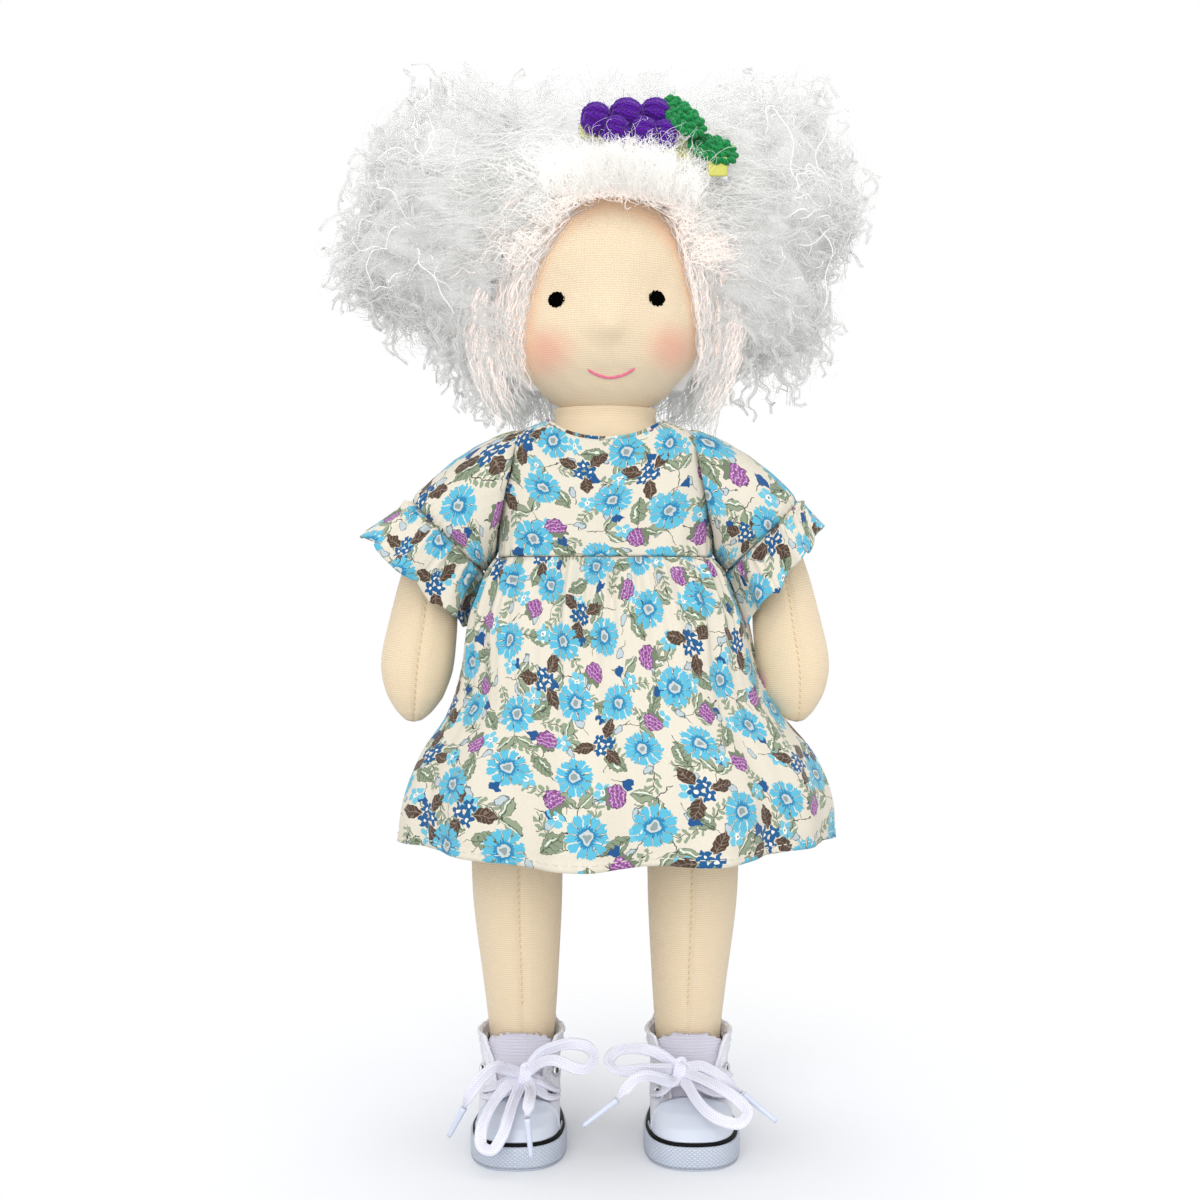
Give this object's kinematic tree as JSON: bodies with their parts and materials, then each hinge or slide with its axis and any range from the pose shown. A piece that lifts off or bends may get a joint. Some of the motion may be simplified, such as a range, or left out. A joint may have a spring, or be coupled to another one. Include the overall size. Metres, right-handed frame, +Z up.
{
  "type": "cloth doll",
  "caption": "Stuffed cloth doll with curly bunched hair, a printed dress with frilled sleeves, laced canvas shoes and a crochet hair clip; it stands and sits.",
  "frame": {"origin": "on the surface that the doll stands on, under the middle of its outline", "axes": "+Z up, the doll faces -Y, +X is the doll's own left"},
  "size_m": [0.164, 0.094, 0.3082],
  "materials": {
    "jersey": "matt cotton jersey",
    "eye_thread": "matt embroidery",
    "mouth_thread": "matt embroidery",
    "hair": "loose curly mohair-like yarn",
    "elastic": "matt elastic",
    "steel": "stamped sheet",
    "ribbon": "grosgrain ribbon",
    "grape_yarn": "matt crochet cotton",
    "leaf_yarn": "matt crochet cotton",
    "cotton": "printed cotton poplin",
    "snap": "moulded",
    "sole_rubber": "moulded, fine diamond texture",
    "toe_rubber": "smooth and glossy",
    "canvas": "plain weave canvas",
    "tongue_cloth": "fine ribbed cloth",
    "lace": "flat woven lace",
    "aglet": "clear bluish film"
  },
  "bodies": {
    "torso": {"torso": "jersey", "neck": "jersey", "bodice": "cotton", "skirt": "cotton", "upper_snap": "snap", "lower_snap": "snap"},
    "head": {"head": "jersey", "left_eye": "eye_thread", "right_eye": "eye_thread", "mouth_stitch": "mouth_thread", "hair_crown": "hair", "left_bunch": "hair", "right_bunch": "hair", "left_hair_tie": "elastic", "right_hair_tie": "elastic", "clip_base": "steel", "clip_pin": "steel"},
    "clip_jaw": {"clip_lever": "ribbon", "grapes": "grape_yarn", "upper_leaf": "leaf_yarn", "lower_leaf": "leaf_yarn"},
    "left_arm": {"left_arm": "jersey", "left_sleeve": "cotton", "left_ruffle": "cotton"},
    "right_arm": {"right_arm": "jersey", "right_sleeve": "cotton", "right_ruffle": "cotton"},
    "hips": {"hip_seam": "jersey"},
    "left_leg": {"left_leg": "jersey", "left_outsole": "sole_rubber", "left_foxing": "sole_rubber", "left_toe_cap": "toe_rubber", "left_upper": "canvas", "left_tongue": "tongue_cloth", "left_lacing": "lace", "left_inner_loop": "lace", "left_front_loop": "lace", "left_outer_tail": "lace", "left_inner_tail": "lace", "left_outer_aglet": "aglet", "left_inner_aglet": "aglet"},
    "right_leg": {"right_leg": "jersey", "right_outsole": "sole_rubber", "right_foxing": "sole_rubber", "right_toe_cap": "toe_rubber", "right_upper": "canvas", "right_tongue": "tongue_cloth", "right_lacing": "lace", "right_inner_loop": "lace", "right_front_loop": "lace", "right_outer_tail": "lace", "right_front_tail": "lace", "right_outer_aglet": "aglet", "right_front_aglet": "aglet"}
  },
  "joints": [
    {"name": "head_turn", "type": "hinge", "parent": "torso", "child": "head", "pos_m": [0, 0, 0.215], "axis": [0, 0, 1], "range_deg": [-25, 25], "stiffness_Nm_per_rad": 0.02},
    {"name": "clip_open", "type": "hinge", "parent": "head", "child": "clip_jaw", "pos_m": [0.02591, -0.02936, 0.28357], "axis": [0.0245, 0.646, 0.7629], "range_deg": [0, 18], "stiffness_Nm_per_rad": 0.01, "springref_deg": -2.86},
    {"name": "left_arm_swing", "type": "hinge", "parent": "torso", "child": "left_arm", "pos_m": [0.0302, 0, 0.19], "axis": [-1, 0, 0], "range_deg": [-40, 100]},
    {"name": "right_arm_swing", "type": "hinge", "parent": "torso", "child": "right_arm", "pos_m": [-0.0302, 0, 0.19], "axis": [-1, 0, 0], "range_deg": [-40, 100]},
    {"name": "sit", "type": "hinge", "parent": "torso", "child": "hips", "pos_m": [0, 0, 0.122], "axis": [-1, 0, 0], "range_deg": [0, 90], "deforming": ["skirt"]},
    {"name": "left_leg_swing", "type": "hinge", "parent": "hips", "child": "left_leg", "pos_m": [0.0263, 0, 0.1165], "axis": [-1, 0, 0], "range_deg": [-30, 15]},
    {"name": "right_leg_swing", "type": "hinge", "parent": "hips", "child": "right_leg", "pos_m": [-0.0263, 0, 0.1165], "axis": [-1, 0, 0], "range_deg": [-30, 15]}
  ]
}
